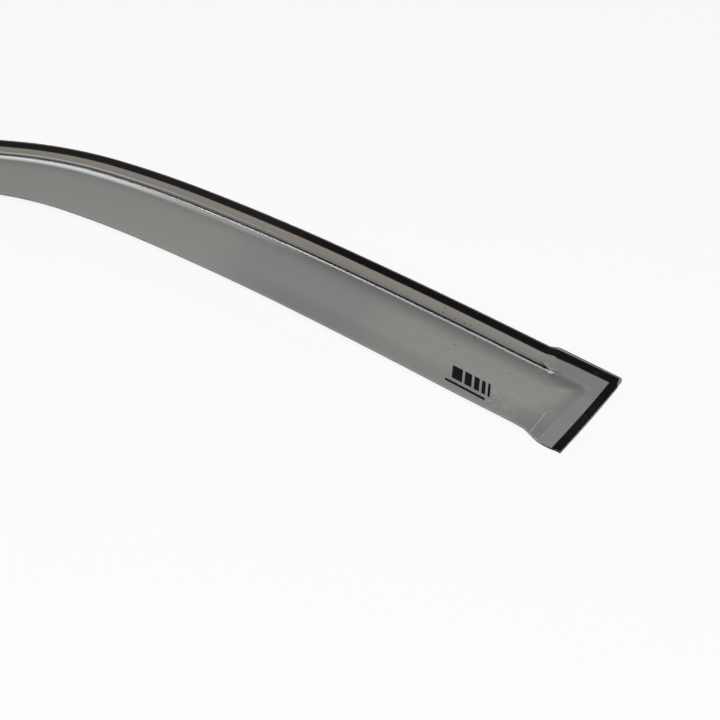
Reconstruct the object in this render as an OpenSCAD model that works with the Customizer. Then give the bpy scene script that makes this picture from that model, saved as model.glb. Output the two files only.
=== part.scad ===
// Window rain deflector for a front door: one thermoformed smoked acrylic sheet with a flat bonding
// flange along its upper edge, a step up to an outward-bowed blade, and a raised flat end at the rear.
// It lies as it is stored: bonding faces down, blade up. The tapes carry their release liners.
// X runs towards the rear end, Y towards the taped edge, Z away from the door.
// The origin is on the liner's outer face, on the top tape's centre line, where its straight part ends.

/* [Taped edge] */
// Straight run between the joggle and the first arc
straight_run = 4; // [2:0.5:20]
// Length of the roof arc
roof_run = 162; // [120:1:200]
// Radius of the roof arc
roof_r = 4150; // [2600:50:5500]
// Length of the haunch arc
haunch_run = 140; // [110:1:180]
// Radius of the haunch arc
haunch_r = 1820; // [1400:20:2400]
// Length of the bend before the pillar
bend_run = 77; // [60:1:100]
// Radius of the bend before the pillar
bend_r = 780; // [600:10:1000]
// Length of the pillar bend
pillar_bend_run = 93; // [80:1:120]
// Radius of the pillar bend
pillar_bend_r = 330; // [270:5:420]
// Straight run along the windscreen pillar, up to the front slope
pillar_run = 315; // [220:5:400]

/* [Width] */
// Distance from the taped edge to the free edge at the widest place
full_w = 79.4; // [74:0.2:88]
// The same distance at the rear end
rear_w = 77.6; // [72:0.2:86]
// The same distance at the front tip
front_w = 42.5; // [34:0.5:52]
// Run over which the rear width grows to the widest
rear_widening = 100; // [80:5:180]
// How far the free edge bulges out by the rear end
rear_bulge = 1.6; // [0:0.1:2.4]
// Run from the end edge over which that bulge grows to its full size
bulge_growth = 10; // [6:1:14]
// Run over which the bulge then dies out
bulge_fade = 32; // [20:1:45]
// Distance from the rear end where the blade starts to narrow
taper_from = 58; // [50:1:200]
// How late the narrowing comes: 1 is a straight taper
taper_power = 2.9; // [1.6:0.1:3.4]

/* [Section] */
// Thickness of the acrylic sheet
sheet_t = 1.5; // [1.2:0.1:2]
// Distance from the taped edge to the line where the step's wall meets the flange
flange_w = 18.8; // [17:0.1:22]
// Radius of the concave bend at the foot of the step
fillet_r = 2.3; // [1.8:0.1:3]
// Angle of the step's wall
wall_angle = 50; // [42:1:56]
// Radius of the convex bend at the top of the step
shoulder_r = 8; // [5:0.5:9]
// Height above the flange at which the lines of the wall and the blade meet
step_h = 3.6; // [3.2:0.1:4.6]
// Slope of the blade at its root
blade_slope = 7; // [5:0.2:9]
// Radius of the blade's outward bow across its width
crown_r = 420; // [360:10:600]

/* [Rear end] */
// Flat run at the rear end, from the end edge to the foot of the blade's rear slope
rear_flat = 17; // [14:0.2:20]
// Angle of the blade's rear slope
rear_slope = 24; // [18:1:32]
// Radius of the bend at the top of the rear slope
rear_slope_r = 10; // [6:1:20]
// Distance from the rear end at which the step has gone fully soft
soft_to = 32; // [28:1:38]
// Distance from the rear end at which the step starts to soften
soft_from = 45; // [42:1:48]
// Angle of the softened step
soft_angle = 14; // [10:1:22]
// Radius of both bends of the softened step
soft_r = 30; // [15:1:45]
// Run between the place where the step starts to soften and the joggle
shelf_run = 2.3; // [0.5:0.1:8]
// Length of the joggle in the flange
joggle_run = 9.5; // [7:0.5:14]
// Height of the rear end above the rest of the flange
end_raise = 1.9; // [1:0.1:2.6]
// Lean of the end edge, away from a square end
end_lean = 2; // [0:0.1:4]
// Outward bow of the end edge
end_crown = 0.6; // [0:0.1:1.2]
// Extra rim of sheet beyond the joggle
rim_extra = 1.3; // [0.8:0.1:2]
// Radius of the rear upper corner
upper_corner_r = 2.8; // [1.6:0.1:4]
// Radius of the rear lower corner
lower_corner_r = 1.8; // [1:0.1:3]

/* [Front end] */
// Run over which the blade sinks to the flat tip
front_slope_run = 62; // [45:1:90]
// Radius of the bend at the top of the front slope
front_slope_r = 150; // [60:10:250]
// Flat run before the tip is rounded
front_flat = 18; // [10:1:30]
// Radius of both corners of the front tip
tip_r = 14; // [8:0.5:15]

/* [Tapes] */
// Width of both tapes
tape_w = 6; // [5:0.5:8]
// Thickness of the foam tape
foam_t = 1.1; // [0.8:0.1:1.6]
// Thickness of the release liner
liner_t = 0.1; // [0.06:0.02:0.2]
// Distance from the sheet's edge to the top tape
edge_margin = 0.35; // [0.2:0.05:1]
// Distance from the end edge to the end tape
end_margin = 0.2; // [0.1:0.05:1]
// How far each liner reaches past its tape on both sides
liner_lap = 0.15; // [0.05:0.05:0.3]
// How much further the top liner shows below the joggle
liner_bulge = 0.7; // [0.3:0.1:1]
// Length of that bulge
liner_bulge_run = 12; // [8:1:16]
// Gap between the top tape and the end tape
tape_gap = 0.2; // [0.2:0.1:1]
// Angle by which the top tape drifts to the edge beyond the joggle
tape_drift = 1.3; // [0:0.1:1.5]
// Distance from the end edge to the top tape's cut end, at its upper side
cut_back = 2.8; // [2:0.1:5]
// Slant of that cut, over the tape's width
cut_slant = 1.6; // [0:0.1:1.8]

/* [Hidden] */

// Steps along each stretch, and across each part of the section
short_steps = 3;
corner_steps = 5;
tip_steps = 9;
foot_steps = 5;
rear_steps = 10;
soft_steps = 6;
joggle_steps = 6;
roof_steps = 6;
haunch_steps = 7;
bend_steps = 12;
front_steps = 10;
end_steps = 8;
step_steps = 14;
blade_shares = [0.05, 0.11, 0.18, 0.27, 0.38, 0.51, 0.65, 0.8, 1];
probe = 0.02;

// How far past the top tape the sheet keeps its thickness straight down
past_tape = 1;

// Heights of the faces of one tape, counted from the liner's outer face
seat_z = liner_t + foam_t;
face_z = seat_z + sheet_t;

// Distances along the taped edge, counted from the rear end
joggle_from = soft_from + shelf_run;
joggle_end = joggle_from + joggle_run;
arc_from = joggle_end + straight_run;
front_slope_from = arc_from + roof_run + haunch_run + bend_run + pillar_bend_run + pillar_run;
front_slope_end = front_slope_from + front_slope_run;
tip_from = front_slope_end + front_flat;
tip_s = tip_from + tip_r;

runs = [arc_from, roof_run, haunch_run, bend_run, pillar_bend_run, tip_s];
radii = [0, roof_r, haunch_r, bend_r, pillar_bend_r, 0];
edge_y = edge_margin + tape_w / 2;

function ease(t) = let (u = max(0, min(1, t))) u * u * (3 - 2 * u);

// The higher or the lower of two heights, with a rounded passage where they are less than k apart
function higher(a, b, k) = max(a, b) + pow(max(k - abs(a - b), 0), 2) / (4 * k);
function lower(a, b, k) = -higher(-a, -b, k);

// The k that gives a bend of radius r between two slopes whose tangents differ by t
function passage(r, t) = r * t * t / 2;

// A straight run or an arc of the taped edge: [x, y, heading] at its far end
function stride(at, run, r) =
    r == 0
    ? [at.x - run * cos(at.z), at.y - run * sin(at.z), at.z]
    : let (turned = at.z + run / r * 180 / PI)
      [at.x - r * (sin(turned) - sin(at.z)), at.y - r * (cos(at.z) - cos(turned)), turned];

// The taped edge at a distance from the rear end, as tangent runs and arcs
function walk(s, i = 0, at = [arc_from, edge_y, 0]) =
    i == len(runs) - 1 || s <= runs[i]
    ? stride(at, s, radii[i])
    : walk(s - runs[i], i + 1, stride(at, runs[i], radii[i]));

// The end edge leans and bows, which fades out towards the joggle
function end_shift(s, w) =
    let (across = w / rear_w)
    max(0, 1 - s / joggle_from) * (-w * tan(end_lean) + 4 * end_crown * across * (1 - across));

// Plan of a point at a distance w in from the taped edge
function plan(s, w) =
    let (at = walk(s))
    [at.x + w * sin(at.z) + end_shift(s, w), at.y - w * cos(at.z)];

function width(s) =
    full_w
    - (full_w - rear_w) * (1 - ease(s / rear_widening))
    + rear_bulge * (1 - pow(max(0, 1 - s / bulge_growth), 2)) * (1 - ease((s - bulge_growth) / bulge_fade))
    - (full_w - front_w) * pow(max(0, s - taper_from) / (tip_s - taper_from), taper_power);

// The section: the lines of the wall and the blade meet at step_h above the flange, rounded off by bends.
// The softened wall keeps its place at the height of the raised end.
wall_t = tan(wall_angle);
soft_t = tan(soft_angle);
root_t = tan(blade_slope);
root_x = step_h / wall_t;
pivot_x = end_raise / wall_t;
fillet_reach = fillet_r * wall_t / 2;
shoulder_reach = shoulder_r * (wall_t - root_t) / 2;

// The blade's height above the flange, bowed outwards from its root on
function blade_z(x) =
    let (run = x - root_x, out = run - crown_r * sin(blade_slope))
    step_h + (run <= 0 ? run * root_t : sqrt(crown_r * crown_r - out * out) - crown_r * cos(blade_slope));

rear_t = tan(rear_slope);
rear_foot_reach = passage(soft_r, soft_t) / rear_t;
front_t = blade_z(front_w - flange_w) / front_slope_run;

function raise(s) = end_raise * ease((joggle_end - s) / joggle_run);

// Height above the unraised flange, at a run x in from the foot of the step
function height(s, x) =
    let (firm = ease((s - soft_to) / (soft_from - soft_to)),
         rise_t = soft_t + (wall_t - soft_t) * firm,
         over_r = soft_r + (shoulder_r - soft_r) * firm,
         foot_r = soft_r + (fillet_r - soft_r) * firm,
         step = lower(end_raise + (x - pivot_x) * rise_t, blade_z(x), passage(over_r, rise_t - root_t)),
         rear = end_raise + (s - rear_flat) * rear_t,
         front = (front_slope_end - s) * front_t,
         sloped = lower(step, rear, passage(rear_slope_r, rear_t)),
         blade = lower(sloped, front, passage(front_slope_r, front_t)))
    higher(raise(s), blade, passage(foot_r, rise_t));

// A point of the outer face
function face(s, w) =
    let (at = plan(s, w))
    [at.x, at.y, face_z + height(s, w - flange_w)];

// The same point on the inner face, one sheet thickness below: straight down over the tape, then square on
tape_zone = edge_margin + tape_w + past_tape;
flange_end = flange_w - fillet_reach;
function inner(s, w) =
    let (out = cross(face(s + probe, w) - face(s - probe, w), face(s, w + probe) - face(s, w - probe)),
         square = out * sign(out.z) / norm(out),
         share = ease((w - tape_zone) / (flange_end - tape_zone)))
    face(s, w) - sheet_t * (square * share + [0, 0, 1 - share]);

// How far a rounded corner pulls the edge in, at a run from the end
function pull(run, r) = run >= r ? 0 : r - sqrt(r * r - (r - run) * (r - run));

function upper_edge(s) =
    -rim_extra * ease((joggle_end - s) / joggle_run) + pull(s, upper_corner_r) + pull(tip_s - s, tip_r);
function lower_edge(s) = width(s) - pull(s, lower_corner_r) - pull(tip_s - s, tip_r);

function split(from, to, steps) = [for (i = [0:steps - 1]) from + (to - from) * i / steps];
function rounded(r, steps) = [for (i = [0:steps - 1]) r * (1 - cos(90 * i / steps))];

// Distances across the section at which it is drawn, squeezed together where a corner is rounded
function lines(s) =
    let (top = -rim_extra * ease((joggle_end - s) / joggle_run),
         root = flange_w + root_x + shoulder_reach,
         full = [
             top,
             each split(tape_zone, flange_end, short_steps),
             each split(flange_end, root, step_steps),
             root,
             each [for (share = blade_shares) root + (width(s) - root) * share]
         ],
         squeeze = (lower_edge(s) - upper_edge(s)) / (width(s) - top))
    [for (w = full) upper_edge(s) + (w - top) * squeeze];

roof_from = arc_from + roof_run;
bend_from = roof_from + haunch_run;
pillar_bend_from = bend_from + bend_run;
pillar_from = pillar_bend_from + pillar_bend_run;
crest = front_slope_from - front_slope_r * front_t;
joggle_stations = split(joggle_from, joggle_end, joggle_steps);
band_stations = [
    each split(joggle_end, arc_from, short_steps),
    each split(arc_from, roof_from, roof_steps),
    each split(roof_from, bend_from, haunch_steps),
    each split(bend_from, pillar_bend_from, haunch_steps),
    each split(pillar_bend_from, pillar_from, bend_steps),
    each split(pillar_from, crest, haunch_steps)
];
stations = [
    each rounded(upper_corner_r, corner_steps),
    each split(upper_corner_r, rear_flat - rear_foot_reach, short_steps),
    each split(rear_flat - rear_foot_reach, rear_flat + rear_foot_reach, foot_steps),
    each split(rear_flat + rear_foot_reach, soft_to, rear_steps),
    each split(soft_to, joggle_from, soft_steps),
    each joggle_stations,
    each band_stations,
    each split(crest, tip_from, front_steps),
    each [for (i = [0:tip_steps]) tip_s - tip_r * (1 - sin(90 * i / tip_steps))]
];

module visor() {
    rings = [for (s = stations)
        let (across = lines(s))
        [each [for (w = across) face(s, w)],
         each [for (i = [len(across) - 1:-1:0]) inner(s, across[i])]]];
    around = len(rings[0]);
    half = around / 2;
    last = (len(rings) - 1) * around;
    function ring_quad(j, i) =
        let (k = (i + 1) % around, a = j * around + i, b = j * around + k)
        [[a, b, b + around], [a, b + around, a + around]];
    function end_quad(from, i) = [from + i, from + i + 1, from + around - 2 - i, from + around - 1 - i];
    sides = [for (j = [0:len(rings) - 2], i = [0:around - 1]) each ring_quad(j, i)];
    rear = [for (i = [0:half - 2]) let (q = end_quad(0, i)) each [[q[3], q[1], q[0]], [q[3], q[2], q[1]]]];
    front = [for (i = [0:half - 2]) let (q = end_quad(last, i)) each [[q[0], q[1], q[3]], [q[1], q[2], q[3]]]];
    color([0.36, 0.37, 0.36, 0.75])
        polyhedron(points = [for (ring = rings) each ring], faces = [each sides, each rear, each front]);
}

function backwards(list) = [for (i = [len(list) - 1:-1:0]) list[i]];

// The part of a top strip before the joggle, between two distances in from the taped edge
module long_strip(near, far, z, t) {
    along = [each band_stations, crest, tip_from];
    translate([0, 0, z])
        linear_extrude(t)
            polygon([each [for (s = along) plan(s, near)], each backwards([for (s = along) plan(s, far)])]);
}

// The part of a top strip that climbs the joggle
module joggle_strip(near, far, z, t) {
    along = [each joggle_stations, joggle_end];
    translate([0, edge_y - near, 0])
        rotate([90, 0, 0])
            linear_extrude(far - near)
                polygon([
                    each [for (s = along) [arc_from - s, z + raise(s)]],
                    each backwards([for (s = along) [arc_from - s, z + t + raise(s)]])
                ]);
}

function drift(s) = tan(tape_drift) * max(0, joggle_from - s);

// The part of a top strip beyond the joggle, cut at a slant by the corner
module rear_strip(near, far, bulge, z, t) {
    cut_near = cut_back;
    cut_far = cut_back - cut_slant;
    bulge_end = joggle_from - liner_bulge_run;
    translate([0, 0, z + end_raise])
        linear_extrude(t)
            polygon([
                [arc_from - joggle_from, edge_y - near],
                [arc_from - joggle_from, edge_y - far],
                [arc_from - joggle_from + 1, edge_y - far - bulge],
                [arc_from - bulge_end, edge_y - far + drift(bulge_end)],
                [arc_from - cut_far, edge_y - far + drift(cut_far)],
                [arc_from - cut_near, edge_y - near + drift(cut_near)]
            ]);
}

module top_strip(lap, bulge, z, t) {
    near = edge_margin - lap;
    far = edge_margin + tape_w + lap;
    long_strip(near, far, z, t);
    joggle_strip(near, far, z, t);
    rear_strip(near, far, bulge, z, t);
}

// A strip along the end edge, from the top tape's drifting edge to the lower corner
module end_strip(lap, z, t) {
    from = edge_margin + tape_w + tape_gap;
    to = rear_w - end_margin;
    inset = end_margin - lap;
    near = inset + tape_w + 2 * lap;
    function edge_point(w, run) = [arc_from + end_shift(0, w) - run, edge_y - w];
    first = from - drift(0);
    outer = [for (i = [0:end_steps]) edge_point(first + (to - first) * i / end_steps, inset)];
    inner_from = edge_point(from - drift(near), near);
    translate([0, 0, z + end_raise])
        linear_extrude(t)
            polygon([
                each outer,
                each [for (i = [end_steps:-1:1]) outer[i] - [near - inset, 0]],
                inner_from
            ]);
}

module top_tape() {
    color([0.06, 0.06, 0.065])
        top_strip(0, 0, liner_t, foam_t);
}

module end_tape() {
    color([0.06, 0.06, 0.065])
        end_strip(0, liner_t, foam_t);
}

module top_liner() {
    color([0.6, 0.07, 0.12])
        top_strip(liner_lap, liner_bulge, 0, liner_t);
}

module end_liner() {
    color([0.6, 0.07, 0.12])
        end_strip(liner_lap, 0, liner_t);
}

visor();
top_tape();
end_tape();
top_liner();
end_liner();
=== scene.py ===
"""Looks for a window rain deflector: a formed sheet of smoked acrylic, two foam tapes and their liners.

The sheet is drawn again here as a fine smooth skin from the same sizes as the CAD part.
Lengths in the shape functions are millimetres, and meshes are made in metres.
"""

import math

import bmesh
import bpy
import numpy as np
from mathutils import Matrix, Vector


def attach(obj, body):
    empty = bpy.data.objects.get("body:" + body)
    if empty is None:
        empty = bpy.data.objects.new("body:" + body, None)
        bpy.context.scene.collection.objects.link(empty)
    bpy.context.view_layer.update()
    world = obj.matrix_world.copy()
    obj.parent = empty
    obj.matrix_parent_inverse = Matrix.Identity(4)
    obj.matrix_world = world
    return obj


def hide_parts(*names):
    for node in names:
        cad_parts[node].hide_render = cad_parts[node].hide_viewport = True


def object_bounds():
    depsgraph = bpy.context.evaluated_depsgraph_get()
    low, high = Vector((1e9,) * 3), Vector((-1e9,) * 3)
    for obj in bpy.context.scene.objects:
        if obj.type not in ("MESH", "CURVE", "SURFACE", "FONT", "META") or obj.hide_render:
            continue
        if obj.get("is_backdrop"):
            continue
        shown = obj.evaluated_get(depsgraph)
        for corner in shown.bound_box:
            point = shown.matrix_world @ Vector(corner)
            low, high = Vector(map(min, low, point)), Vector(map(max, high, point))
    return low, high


MM = 0.001

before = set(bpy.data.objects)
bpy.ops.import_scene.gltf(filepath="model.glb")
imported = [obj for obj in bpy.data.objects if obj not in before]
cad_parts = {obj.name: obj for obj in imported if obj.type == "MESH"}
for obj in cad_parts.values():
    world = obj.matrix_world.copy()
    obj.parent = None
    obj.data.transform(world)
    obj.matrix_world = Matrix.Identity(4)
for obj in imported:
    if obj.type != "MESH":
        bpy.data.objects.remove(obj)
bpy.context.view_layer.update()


# The taped edge: a straight run, four arcs that bend ever faster, and a straight run along the pillar
STRAIGHT_RUN = 4
ROOF_RUN, ROOF_R = 162, 4150
HAUNCH_RUN, HAUNCH_R = 140, 1820
BEND_RUN, BEND_R = 77, 780
PILLAR_BEND_RUN, PILLAR_BEND_R = 93, 330
PILLAR_RUN = 315

# Distance from the taped edge to the free edge
FULL_W, REAR_W, FRONT_W = 79.4, 77.6, 42.5
REAR_WIDENING = 100
REAR_BULGE, BULGE_GROWTH, BULGE_FADE = 1.6, 10, 32
TAPER_FROM, TAPER_POWER = 58, 2.9

# The section
SHEET_T, FLANGE_W = 1.5, 18.8
FILLET_R, SHOULDER_R = 2.3, 8
WALL_T, ROOT_T = math.tan(math.radians(50)), math.tan(math.radians(7))
STEP_H, CROWN_R = 3.6, 420

# The two ends
REAR_FLAT, REAR_SLOPE_T, REAR_SLOPE_R = 17, math.tan(math.radians(24)), 10
SOFT_TO, SOFT_FROM = 32, 45
SOFT_T, SOFT_R = math.tan(math.radians(14)), 30
SHELF_RUN, JOGGLE_RUN, END_RAISE = 2.3, 9.5, 1.9
END_LEAN, END_CROWN = math.radians(2), 0.6
RIM_EXTRA = 1.3
UPPER_CORNER_R, LOWER_CORNER_R = 2.8, 1.8
FRONT_SLOPE_RUN, FRONT_SLOPE_R, FRONT_FLAT, TIP_R = 62, 150, 18, 14

# The tapes
TAPE_W, FOAM_T, LINER_T, EDGE_MARGIN = 6, 1.1, 0.1, 0.35

FACE_Z = LINER_T + FOAM_T + SHEET_T
JOGGLE_FROM = SOFT_FROM + SHELF_RUN
JOGGLE_END = JOGGLE_FROM + JOGGLE_RUN
ARC_FROM = JOGGLE_END + STRAIGHT_RUN
FRONT_SLOPE_FROM = ARC_FROM + ROOF_RUN + HAUNCH_RUN + BEND_RUN + PILLAR_BEND_RUN + PILLAR_RUN
FRONT_SLOPE_END = FRONT_SLOPE_FROM + FRONT_SLOPE_RUN
TIP_FROM = FRONT_SLOPE_END + FRONT_FLAT
TIP_S = TIP_FROM + TIP_R
EDGE_Y = EDGE_MARGIN + TAPE_W / 2
TAPE_ZONE = EDGE_MARGIN + TAPE_W + 1
FLANGE_END = FLANGE_W - FILLET_R * WALL_T / 2
ROOT_X = STEP_H / WALL_T
SHOULDER_END = FLANGE_W + ROOT_X + SHOULDER_R * (WALL_T - ROOT_T) / 2

# Every edge of the sheet is broken by a small radius
EDGE_R = 0.25
EDGE_RUNS = EDGE_R * (1 - np.cos(np.linspace(0, math.pi / 2, 5)))


def ease(t):
    u = np.clip(t, 0, 1)
    return u * u * (3 - 2 * u)


def walk(s):
    """x, y and heading of the taped edge at distances s from the rear end."""
    stretches = [
        (ARC_FROM, 0),
        (ROOF_RUN, ROOF_R),
        (HAUNCH_RUN, HAUNCH_R),
        (BEND_RUN, BEND_R),
        (PILLAR_BEND_RUN, PILLAR_BEND_R),
        (TIP_S, 0),
    ]
    x, y, a = (np.zeros_like(s) for _ in range(3))
    at_x, at_y, at_a, begun = ARC_FROM, EDGE_Y, 0.0, 0.0
    for run, r in stretches:

        def stride(d):
            if r == 0:
                return at_x - d * math.cos(at_a), at_y - d * math.sin(at_a), at_a + 0 * d
            b = at_a + d / r
            return at_x - r * (np.sin(b) - math.sin(at_a)), at_y - r * (math.cos(at_a) - np.cos(b)), b

        here = s >= begun
        sx, sy, sa = stride(s - begun)
        x, y, a = np.where(here, sx, x), np.where(here, sy, y), np.where(here, sa, a)
        at_x, at_y, at_a = (float(v) for v in stride(np.array(float(run))))
        begun += run
    return x, y, a


def end_shift(s, w):
    """How far the rear end leans and bows along the taped edge, dying away towards the joggle."""
    across = w / REAR_W
    lean = -w * math.tan(END_LEAN)
    crown = 4 * END_CROWN * across * (1 - across)
    return np.maximum(0, 1 - s / JOGGLE_FROM) * (lean + crown)


def width(s):
    """Distance from the taped edge to the free edge."""
    rear = (FULL_W - REAR_W) * (1 - ease(s / REAR_WIDENING))
    front = (FULL_W - FRONT_W) * (np.maximum(0, s - TAPER_FROM) / (TIP_S - TAPER_FROM)) ** TAPER_POWER
    grown = 1 - np.maximum(0, 1 - s / BULGE_GROWTH) ** 2
    left = 1 - ease((s - BULGE_GROWTH) / BULGE_FADE)
    return FULL_W - rear - front + REAR_BULGE * grown * left


def higher(a, b, k):
    """The higher of two heights, with a rounded passage where they are less than k apart."""
    return np.maximum(a, b) + np.maximum(k - abs(a - b), 0) ** 2 / (4 * k)


def lower(a, b, k):
    return -higher(-a, -b, k)


def passage(r, t):
    """The k that gives a bend of radius r between two slopes whose tangents differ by t."""
    return r * t * t / 2


def blade_z(x):
    """Height of the blade above the flange, bowed outwards from its root on."""
    slope = math.atan(ROOT_T)
    run = x - ROOT_X
    to_crest = run - CROWN_R * math.sin(slope)
    bowed = np.sqrt(np.maximum(0, CROWN_R**2 - to_crest**2)) - CROWN_R * math.cos(slope)
    return STEP_H + np.where(run <= 0, run * ROOT_T, bowed)


def height(s, x):
    """Height above the unraised flange, at a run x in from the foot of the step."""
    firm = ease((s - SOFT_TO) / (SOFT_FROM - SOFT_TO))
    rise_t = SOFT_T + (WALL_T - SOFT_T) * firm
    over_r = SOFT_R + (SHOULDER_R - SOFT_R) * firm
    foot_r = SOFT_R + (FILLET_R - SOFT_R) * firm
    wall = END_RAISE + (x - END_RAISE / WALL_T) * rise_t
    step = lower(wall, blade_z(x), passage(over_r, rise_t - ROOT_T))
    rear = END_RAISE + (s - REAR_FLAT) * REAR_SLOPE_T
    front_t = blade_z(FRONT_W - FLANGE_W) / FRONT_SLOPE_RUN
    front = (FRONT_SLOPE_END - s) * front_t
    sloped = lower(step, rear, passage(REAR_SLOPE_R, REAR_SLOPE_T))
    blade = lower(sloped, front, passage(FRONT_SLOPE_R, front_t))
    raised = END_RAISE * ease((JOGGLE_END - s) / JOGGLE_RUN)
    return higher(raised, blade, passage(foot_r, rise_t))


def face(s, w):
    """Points of the outer face, in millimetres."""
    x, y, a = walk(s)
    x = x + w * np.sin(a) + end_shift(s, w)
    return np.stack([x, y - w * np.cos(a), FACE_Z + height(s, w - FLANGE_W)], -1)


def inner(s, w):
    """The same points on the inner face, one sheet thickness below."""
    probe = 0.02
    along = face(s + probe, w) - face(s - probe, w)
    across = face(s, w + probe) - face(s, w - probe)
    out = np.cross(along, across)
    out *= np.sign(out[..., 2:]) / np.linalg.norm(out, axis=-1, keepdims=True)
    share = ease((w - TAPE_ZONE) / (FLANGE_END - TAPE_ZONE))[..., None]
    return face(s, w) - SHEET_T * (out * share + np.array([0.0, 0.0, 1.0]) * (1 - share))


def pull(run, r):
    """How far a rounded corner pulls the edge in, at a run from the end."""
    return np.where(run >= r, 0, r - np.sqrt(np.maximum(0, r**2 - (r - run) ** 2)))


def rounding(run):
    """Depth of the rounded edge at a run from it, and 0 further in."""
    short = EDGE_R - np.clip(run, 0, EDGE_R)
    return EDGE_R - np.sqrt(EDGE_R**2 - short**2)


def stations():
    """Distances along the taped edge, closer together where the surface turns."""

    def split(start, stop, steps):
        return np.linspace(start, stop, steps, endpoint=False)

    def end_rows(r, steps):
        """Runs from an end: over the rounded edge, then over the rounded corner."""
        corner = r * (1 - np.cos(split(0, math.pi / 2, steps)))
        return np.concatenate([EDGE_RUNS, corner[corner > 1.2 * EDGE_R]])

    roof_end = ARC_FROM + ROOF_RUN
    haunch_end = roof_end + HAUNCH_RUN
    bend_end = haunch_end + BEND_RUN
    pillar_from = bend_end + PILLAR_BEND_RUN
    slope_from = REAR_FLAT - 2
    rows_up_to = (
        (slope_from, 10),
        (SOFT_TO, 44),
        (JOGGLE_FROM, 36),
        (JOGGLE_END, 26),
        (ARC_FROM, 5),
        (roof_end, 62),
        (haunch_end, 54),
        (bend_end, 38),
        (pillar_from, 60),
        (FRONT_SLOPE_FROM, 66),
        (TIP_FROM, 36),
    )
    runs = [end_rows(UPPER_CORNER_R, 12)]
    start = UPPER_CORNER_R
    for stop, rows in rows_up_to:
        runs.append(split(start, stop, rows))
        start = stop
    return np.concatenate([*runs, TIP_S - end_rows(TIP_R, 18)[::-1]])


def section_lines(s):
    """Distances across each station: rows of stations, columns from the taped edge to the free edge."""
    top = -RIM_EXTRA * ease((JOGGLE_END - s) / JOGGLE_RUN)
    flange = np.linspace(0.04, 0.93, 8)
    step = np.linspace(FLANGE_END, SHOULDER_END, 27)
    blade = np.linspace(0, 0.985, 32)[1:] ** 1.3
    full = np.concatenate(
        [
            top[:, None] + EDGE_RUNS,
            top[:, None] + (FLANGE_END - top)[:, None] * flange,
            np.broadcast_to(step, (len(s), len(step))),
            SHOULDER_END + (width(s) - SHOULDER_END)[:, None] * blade,
            width(s)[:, None] - EDGE_RUNS[::-1],
        ],
        axis=1,
    )
    first = top + pull(s, UPPER_CORNER_R) + pull(TIP_S - s, TIP_R)
    last = width(s) - pull(s, LOWER_CORNER_R) - pull(TIP_S - s, TIP_R)
    squeeze = (last - first) / (width(s) - top)
    return first[:, None] + (full - top[:, None]) * squeeze[:, None]


def add_mesh(bm, name, material):
    bmesh.ops.recalc_face_normals(bm, faces=bm.faces)
    mesh = bpy.data.meshes.new(name)
    for f in bm.faces:
        f.smooth = True
    bm.to_mesh(mesh)
    bm.free()
    mesh.materials.append(material)
    piece = bpy.data.objects.new(name, mesh)
    bpy.context.scene.collection.objects.link(piece)
    return piece


def grid_of_points(bm, points, places):
    """A grid through the given rows of points, in millimetres. Each keeps its place on the sheet."""
    rows, columns = points.shape[:2]
    layer = bm.verts.layers.float_vector.get("place") or bm.verts.layers.float_vector.new("place")
    made = bmesh.ops.create_grid(bm, x_segments=rows - 1, y_segments=columns - 1, size=1)
    for v in made["verts"]:
        i = round((v.co.x + 1) / 2 * (rows - 1))
        j = round((v.co.y + 1) / 2 * (columns - 1))
        v.co = Vector(points[i, j]) * MM
        v[layer] = Vector(places[i, j])


def sheet(material):
    """The formed sheet. Each station is a closed ring, over the outer face and back under."""
    s = stations()
    w = section_lines(s)
    along = np.broadcast_to(s[:, None], w.shape)
    at_ends = np.maximum(rounding(s), rounding(TIP_S - s))[:, None]
    at_sides = np.maximum(rounding(w - w[:, :1]), rounding(w[:, -1:] - w))
    depth = (np.maximum(at_ends, at_sides) / SHEET_T)[..., None]
    outside, inside = face(along, w), inner(along, w)
    through = inside - outside
    upper_skin, lower_skin = outside + through * depth, inside - through * depth
    upper_place = np.stack([along, w, np.ones_like(w)], -1)
    lower_place = upper_place * (1, 1, 0)
    rings = np.concatenate([upper_skin, lower_skin[:, ::-1], upper_skin[:, :1]], axis=1)
    places = np.concatenate([upper_place, lower_place[:, ::-1], upper_place[:, :1]], axis=1)
    bm = bmesh.new()
    grid_of_points(bm, rings, places)
    for end in (0, -1):
        end_points = np.stack([upper_skin[end], lower_skin[end]])
        grid_of_points(bm, end_points, np.stack([upper_place[end], lower_place[end]]))
    bmesh.ops.remove_doubles(bm, verts=bm.verts, dist=0.0005 * MM)
    return add_mesh(bm, "formed_sheet", material)


class Wire:
    """A value in a shader. Arithmetic on it adds Math nodes."""

    def __init__(self, shader, socket):
        self.shader, self.socket = shader, socket

    def math(self, operation, *others, swap=False):
        values = [self, *others]
        if swap:
            values.reverse()
        return self.shader.node("Math", *values, operation=operation)

    def __add__(self, other):
        return self.math("ADD", other)

    def __radd__(self, other):
        return self.math("ADD", other)

    def __sub__(self, other):
        return self.math("SUBTRACT", other)

    def __rsub__(self, other):
        return self.math("SUBTRACT", other, swap=True)

    def __mul__(self, other):
        return self.math("MULTIPLY", other)

    def __rmul__(self, other):
        return self.math("MULTIPLY", other)

    def __truediv__(self, other):
        return self.math("DIVIDE", other)

    def __rtruediv__(self, other):
        return self.math("DIVIDE", other, swap=True)

    def __abs__(self):
        return self.math("ABSOLUTE")

    def least(self, other):
        return self.math("MINIMUM", other)

    def most(self, other):
        return self.math("MAXIMUM", other)

    def ramp(self, start, stop):
        """0 up to start, 1 from stop on, smooth between."""
        return self.shader.node("MapRange", self, start, stop, 0.0, 1.0, interpolation_type="SMOOTHSTEP")

    def between(self, start, stop, soft):
        """1 between two values, falling off over a soft edge outside them."""
        return self.ramp(start - soft, start) * (1 - self.ramp(stop, stop + soft))

    def root(self):
        return self.math("SQRT")

    def power(self, other):
        return self.math("POWER", other)


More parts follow.
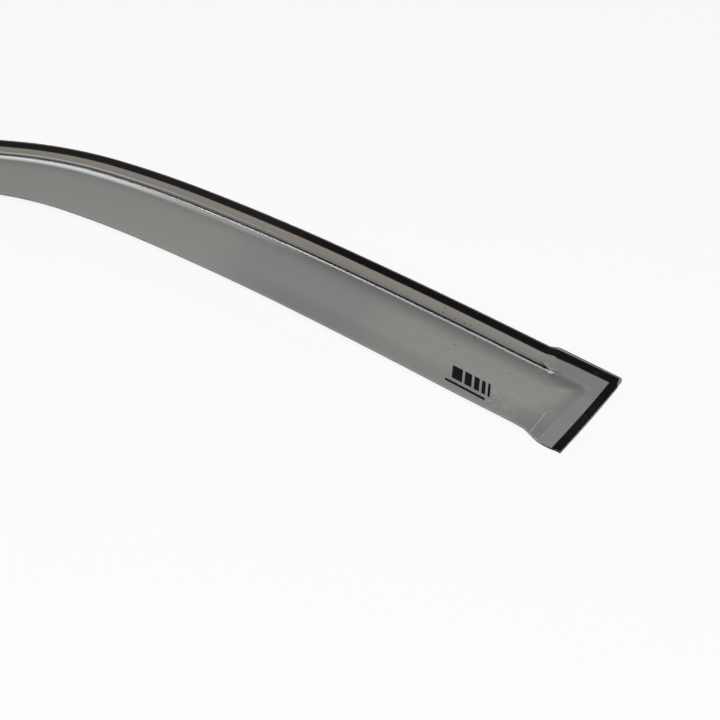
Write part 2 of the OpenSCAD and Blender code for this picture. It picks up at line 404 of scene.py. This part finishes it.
class Shader:
    """A node tree for a material or the world, with its nodes made by one method."""

    def __init__(self, owner):
        owner.use_nodes = True
        self.tree = owner.node_tree
        self.tree.nodes.clear()
        kind = "World" if isinstance(owner, bpy.types.World) else "Material"
        self.out = self.tree.nodes.new("ShaderNodeOutput" + kind)

    def node(self, kind, *values, take=0, named=None, **settings):
        made = self.tree.nodes.new("ShaderNode" + kind)
        for key, value in settings.items():
            setattr(made, key, value)
        for key, value in [*enumerate(values), *(named or {}).items()]:
            self.put(made.inputs[key], value)
        return Wire(self, made.outputs[take])

    def put(self, socket, value):
        if isinstance(value, Wire):
            self.tree.links.new(value.socket, socket)
        elif isinstance(value, (tuple, list)) and len(value) == 3 and socket.type == "RGBA":
            socket.default_value = (*value, 1)
        else:
            socket.default_value = value

    def parts(self, vector):
        """The three numbers of a vector."""
        split = self.node("SeparateXYZ", vector).socket.node
        return [Wire(self, split.outputs[i]) for i in range(3)]

    def matt(self, colour):
        return self.node("BsdfDiffuse", colour)

    def noise(self, at, scale, detail=2.0):
        return self.node("TexNoise", named={"Vector": at, "Scale": scale, "Detail": detail})

    def blend(self, share, low, high):
        made = self.tree.nodes.new("ShaderNodeMix")
        made.data_type = "RGBA"
        for key, value in ((0, share), (6, low), (7, high)):
            self.put(made.inputs[key], value)
        return Wire(self, made.outputs[2])

    def mix(self, share, first, second):
        return self.node("MixShader", share, first, second)

    def surface(self, shader):
        self.put(self.out.inputs["Surface"], shader)

    def volume(self, shader):
        self.put(self.out.inputs["Volume"], shader)


def new_material(name):
    material = bpy.data.materials.new(name)
    return material, Shader(material)


# The masks below are 1 where they hold and 0 where they don't. Their ramps run between places on the
# sheet in millimetres: s along the taped edge from the rear end, w across the sheet from the taped edge.


def distance(s, w, s0, w0):
    ds, dw = s - s0, w - w0
    return (ds * ds + dw * dw).root()


def thin_line(off, full, gone):
    """A line where off is 0, full up to one distance from it and gone at another."""
    return 1 - abs(off).ramp(full, gone)


def step_shade(s, w):
    """Painted shade under the step. It turns the blade's rear corner and runs down beside the end."""
    corner_r = 4.5
    end_line = 16.3 + 0.085 * (w - 28).most(0.0)
    step_line = 23.0
    in_s, in_w = s - end_line, w - step_line
    ds, dw = (corner_r - in_s).most(0.0), (corner_r - in_w).most(0.0)
    inward = in_s.least(in_w).most(corner_r) - (ds * ds + dw * dw).root()
    along_step = (in_s - in_w).ramp(-2, 6)
    step_reach = 19.0
    end_reach = 11.0 + 7.0 * w.ramp(44, 56) + 11.0 * w.ramp(56, 70)
    reach = end_reach + (step_reach - end_reach) * along_step
    depth = 1 - (1 - along_step) * (0.1 + 0.37 * w.ramp(24, 34))
    fading = 1 - ((inward - 1) / (reach - 1)).ramp(0.0, 1.0)
    return depth * inward.ramp(-4.5, -0.5) * fading


def printed_stripes(s, w):
    """A plain motif of slanted bars that grow longer, over one thin line."""
    slant, soft = 0.55, 0.15
    slanted = s + slant * w
    bars = 0.0
    for start, stop in ((99.5, 101.3), (103.3, 106.1), (108.1, 112.1), (114.1, 119.6), (121.6, 129.6)):
        bars = slanted.between(start, stop, soft) + bars
    bars = bars * w.between(59.6, 69.6, soft)
    line = slanted.between(103.0, 134.5, soft) * w.between(72.2, 74.0, soft)
    return bars.least(1.0).most(line)


def wear_and_highlights(sh, s, w, at):
    """Fine pale scratches and smudges, pale lines painted as highlights at the joggle's fold and across
    the rear slope, and small dark specks: two masks.
    """
    cloud = sh.noise(at, 190.0, 3.0)
    streak = sh.noise(at, 900.0, 2.0)
    past_bow = s - 115.0
    bowed = thin_line(w - 45.0 - 0.00915 * past_bow * past_bow, 0.05, 0.35) * s.between(106, 138, 6)
    slanting = thin_line(w - 48.0 - 0.21 * (s - 91.0), 0.05, 0.3) * s.between(91, 104, 3)
    # Two pale lines across the rear slope, parallel to the end: painted highlights of its bends
    mid_slope_highlight = thin_line(s - 27.7 + 0.05 * w, 0.05, 0.4) * w.between(60, 76, 5)
    slope_foot_highlight = thin_line(s - 14.7 - 0.026 * w, 0.05, 0.35) * w.between(58, 74, 6)
    # A pale line painted as a highlight along the joggle's fold
    joggle_highlight = thin_line(s - 49.4, 0.1, 0.5) * w.between(9, 17, 1)
    ring = thin_line(distance(s, w, 21.5, 12.7) - 2.4, 0.1, 0.7)
    smudge = (cloud * streak * 2).ramp(0.5, 0.75) * s.between(46, 62, 8) * w.between(60, 74, 6)
    dusty_end = cloud.ramp(0.6, 0.8) * (1 - s.ramp(20, 60))
    rubbed_tape = streak.ramp(0.45, 0.7) * (1 - s.ramp(6, 9)) * w.between(32, 60, 12)
    pale = 0.0
    for strength, mark in (
        (0.3, bowed),
        (0.2, slanting),
        (0.5, mid_slope_highlight),
        (0.3, slope_foot_highlight),
        (0.15, joggle_highlight),
        (0.1, ring),
        (0.16, smudge),
        (0.07, dusty_end),
        (0.035, rubbed_tape),
    ):
        pale = (strength * mark).most(pale)

    soft = 0.5
    dark = 0.0
    for speck_s, speck_w, r in (
        (100.1, 27.3, 0.5),
        (106.7, 42.5, 0.3),
        (61.5, 43.0, 0.3),
        (59.5, 74.5, 0.35),
        (133.3, 15.8, 0.4),
        (123.1, 16.6, 0.3),
        (115.2, 15.9, 0.5),
        (110.9, 15.2, 0.35),
        (134.6, 11.3, 0.4),
    ):
        speck = 1 - distance(s, w, speck_s, speck_w).ramp(r, r + soft)
        dark = speck + dark
    return pale, dark.least(1.0)


def sheet_tint(sh, s, w, beyond, stepped):
    """Colour of the glass: warm on the flange, greyer at the rear end, and darkened by painted shade under
    the step.
    """
    warm = s.ramp(60, 220)
    flange = 1 - w.ramp(15.5, 18)
    beside_tape = 1 - w.ramp(9.5, 14)
    on_flange = sh.blend(warm, (0.81, 0.80, 0.78), (0.81, 0.77, 0.71))
    on_flange = sh.blend(beside_tape, on_flange, sh.blend(warm, (0.92, 0.86, 0.82), (0.92, 0.81, 0.74)))
    tint = sh.blend(flange, (0.93, 0.93, 0.92), on_flange)

    haunch = s.between(190, 270, 50) * w.ramp(30, 40)
    end_zone = (1 - s.ramp(10, 24)).most((1 - w.ramp(16, 24)) * (1 - s.ramp(40, 50)))
    # Painted shade under the step and beside the rear end
    under_step_shade = step_shade(s, w) * (1 - 0.5 * beyond) * stepped
    free_edge = (1 - s.ramp(230, 290)) * w.ramp(58, 72)
    end_of_blade = (1 - s.ramp(13, 18)) * w.ramp(22, 32)
    under_highlight = w.between(26.6, 29.5, 1.0) * s.between(310, 420, 40)
    for share, colour in (
        (haunch, (0.83, 0.835, 0.84)),
        (end_zone, (0.70, 0.705, 0.74)),
        (under_step_shade, (0.53, 0.55, 0.54)),
        (0.25 * free_edge, (0.37, 0.375, 0.37)),
        (end_of_blade, (0.78, 0.785, 0.81)),
        (0.5 * under_highlight, (0.93, 0.85, 0.72)),
    ):
        tint = sh.blend(share, tint, colour)
    return tint


def beside_wedge(s, w):
    """The softened step on both sides of a narrow wedge: it is dulled, and the wedge mirrors the light."""
    wedge_start = 21.6 + 0.25 * (s - 40).most(0.0)
    wedge_end = 24.3 + 0.22 * (s - 36)
    beside = (w - wedge_end).ramp(0.0, 0.7).most(1 - (w - wedge_start).ramp(0.0, 0.5))
    return (1 - s.ramp(47.5, 50)) * beside * w.between(18, 28, 4) * s.ramp(35.5, 38)


def from_free_edge(s, w):
    """Distance in from the free edge, from the same sizes as width."""
    taper = ((s - TAPER_FROM).most(0.0) / (TIP_S - TAPER_FROM)).power(TAPER_POWER)
    narrowed = (FULL_W - REAR_W) * (1 - s.ramp(0, REAR_WIDENING)) + (FULL_W - FRONT_W) * taper
    bulged = REAR_BULGE * (1 - s.ramp(BULGE_GROWTH, BULGE_GROWTH + BULGE_FADE))
    return FULL_W + bulged - narrowed - w


def smoked_acrylic():
    """Glass with a warm flange, painted shade and painted highlights that follow the formed step, a
    printed motif and light wear.
    """
    material, sh = new_material("smoked_acrylic")
    at = sh.node("TexCoord", take="Object")
    s, w, outside = sh.parts(sh.node("Attribute", attribute_name="place", take="Vector"))
    stepped = 1 - s.ramp(FRONT_SLOPE_FROM, FRONT_SLOPE_END - 12)
    beyond = s.ramp(220, 320) * stepped
    far = s.ramp(320, 460) * stepped
    fork = 18 + 0.54 * (50.5 - s).most(0.0)
    past_joggle = s.ramp(46, 56)

    haze = sh.noise(at, 55.0, 4.0).ramp(0.45, 0.75)
    glass = sh.node(
        "BsdfPrincipled",
        named={
            "Base Color": sheet_tint(sh, s, w, beyond, stepped),
            "Roughness": 0.012 + 0.03 * haze + 0.5 * beside_wedge(s, w),
            "IOR": 1.49,
            "Transmission Weight": 1.0,
        },
    )

    # Wear, and pale lines painted as highlights at the step's foot, the free edge and the rear fork
    pale, specks = wear_and_highlights(sh, s, w, at)
    fillet_highlight = (0.3 * beyond + 0.35 * far) * thin_line(w - 16.0, 0.3, 1.4)
    all_over = 0.004 + 0.012 * s.ramp(220, 300)
    rim_highlight = 0.22 * (1 - from_free_edge(s, w).ramp(0.3, 0.9)) * s.ramp(12, 16)
    wedge_highlight = 0.35 * thin_line(w - 22.6 - 0.2 * (s - 34), 0.15, 0.9) * s.between(37, 42, 3)
    fork_highlight = 0.5 * thin_line(w + 0.7 - fork, 0.05, 0.5) * s.between(44.5, 50, 1.0)
    for line in (fillet_highlight, all_over, rim_highlight, wedge_highlight, fork_highlight):
        pale = pale.most(line)

    # A soft gleam on the step's shoulder, stronger towards the front
    gleam = (0.28 * beyond + 0.68 * far) * w.ramp(24.2, 25.8) * (1 - w.ramp(26.2, 32.0))

    # Painted shade in the crease at the foot of the step, which narrows at the rear
    foot = 0.2 * w.ramp(14.5, 17.2) * past_joggle
    crease_shade = foot.most(0.95 * (w + 0.8 - fork).ramp(0.2, 1.1))
    up_to_wall = 1 - (w - 0.5 * far - 0.8 * past_joggle).ramp(22.2, 22.6)
    crease_shade = crease_shade * up_to_wall * s.ramp(42, 44) * stepped
    lit = 0.5 * beyond + 0.2 * far
    deepest = w.ramp(18.6, 20.6) * (1 - lit)
    shadow = sh.mix(deepest, sh.matt((0.125, 0.122, 0.115)), sh.matt((0.006, 0.006, 0.008)))

    ink = printed_stripes(s, w).most(specks * 0.7) * outside.ramp(0.4, 0.6)

    look = glass
    for share, coat in (
        (pale, sh.matt((0.62, 0.62, 0.64))),
        (gleam, sh.matt((0.88, 0.87, 0.88))),
        (crease_shade, shadow),
        (ink, sh.matt((0.012, 0.012, 0.014))),
    ):
        look = sh.mix(share, look, coat)

    for_lamps = sh.node("LightPath", take="Is Shadow Ray")
    sh.surface(sh.mix(for_lamps, look, sh.node("BsdfTransparent", (1.0, 1.0, 1.0))))
    sh.volume(sh.node("VolumeAbsorption", (0.30, 0.318, 0.287), 940.0))
    return material


def black_foam():
    material, sh = new_material("black_foam")
    at = sh.node("TexCoord", take="Object")
    cells = sh.noise(at, 2600.0, 3.0)
    blotch = sh.noise(at, 260.0, 3.0)
    colour = sh.blend(blotch.ramp(0.45, 0.75), (0.032, 0.030, 0.036), (0.050, 0.046, 0.055))
    bump = sh.node("Bump", named={"Strength": 0.25, "Distance": 0.0001, "Height": cells})
    sh.surface(sh.node("BsdfPrincipled", named={"Base Color": colour, "Roughness": 0.85, "Normal": bump}))
    return material


def red_film():
    material, sh = new_material("red_film")
    at = sh.node("TexCoord", take="Object")
    cloud = sh.noise(at, 300.0)
    colour = sh.blend(cloud.ramp(0.3, 0.7), (0.72, 0.045, 0.10), (0.80, 0.07, 0.13))
    sh.surface(sh.node("BsdfPrincipled", named={"Base Color": colour, "Roughness": 0.4}))
    return material


def white_floor():
    material, sh = new_material("white_floor")
    seen = 0.0
    for ray in ("Is Camera Ray", "Is Glossy Ray", "Is Transmission Ray"):
        seen = sh.node("LightPath", take=ray) + seen
    paper, glow = sh.matt((0.92, 0.92, 0.92)), sh.node("Emission", (1.0, 1.0, 1.0), 1.0)
    sh.surface(sh.mix(seen.least(1.0) * 0.8, paper, glow))
    half, gap = 6.0, 0.0002
    bm = bmesh.new()
    bmesh.ops.create_grid(bm, x_segments=1, y_segments=1, size=half)
    low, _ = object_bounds()
    bmesh.ops.translate(bm, vec=(0, 0, low[2] - gap), verts=bm.verts)
    floor = add_mesh(bm, "floor", material)
    floor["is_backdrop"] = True


acrylic = smoked_acrylic()
visor = sheet(acrylic)
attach(visor, "root")
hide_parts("visor")

foam, film = black_foam(), red_film()
for name, material in (("top_tape", foam), ("end_tape", foam), ("top_liner", film), ("end_liner", film)):
    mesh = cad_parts[name].data
    mesh.materials.clear()
    mesh.materials.append(material)

white_floor()


def studio_world():
    """A dim room with a bright strip low down behind the object and a pale side behind the camera."""
    world = bpy.data.worlds.new("studio")
    bpy.context.scene.world = world
    sh = Shader(world)
    across, behind, up = sh.parts(sh.node("TexCoord", take="Generated"))
    level = up + 8.0 * (across + 0.29).most(0.0) + 1.2 * (-0.4 - across).most(0.0)
    beside = (behind - 0.3 * across).ramp(0.83, 0.91)
    strip = (3.6 + 1.0 * (0 - across).ramp(0.36, 0.5)) * (1 - level.ramp(0.44, 0.56)) * beside
    near_side = 0.55 * (0 - behind).ramp(-0.15, 0.5)
    dim = 0.06
    seen = sh.node("LightPath", take="Is Camera Ray")
    strength = (dim + strip + near_side) * (1 - seen) + seen
    sh.surface(sh.node("Background", (0.98, 0.97, 1.0), strength))


studio_world()


def softbox(name, place, aim, size, power):
    lamp = bpy.data.lights.new(name, "AREA")
    lamp.shape, lamp.size, lamp.size_y, lamp.energy = "RECTANGLE", *size, power
    lit = bpy.data.objects.new(name, lamp)
    bpy.context.scene.collection.objects.link(lit)
    away = Vector(place) - Vector(aim)
    lit.matrix_world = Matrix.Translation(place) @ away.to_track_quat("Z", "Y").to_matrix().to_4x4()


softbox("by_the_camera", place=(0.7, -1.5, 2.3), aim=(-0.2, -0.05, 0), size=(1.8, 1.4), power=62)


def camera():
    """The view of the photograph, 47 degrees down on the rear end and the roof run."""
    eye = (0.239421, -0.532223, 0.59964)
    right = Vector((0.80347, 0.59534, 0))
    forward = Vector((-0.40602, 0.54797, -0.73135))
    up = right.cross(forward)
    data = bpy.data.cameras.new("camera")
    data.sensor_width, data.lens = 36, 60
    data.clip_start, data.clip_end = 0.01, 50
    shot = bpy.data.objects.new("camera", data)
    bpy.context.scene.collection.objects.link(shot)
    turn = Matrix((right, up, -forward)).transposed()
    shot.matrix_world = Matrix.Translation(eye) @ turn.to_4x4()
    bpy.context.scene.camera = shot


camera()
bpy.context.scene.view_settings.view_transform = "Standard"
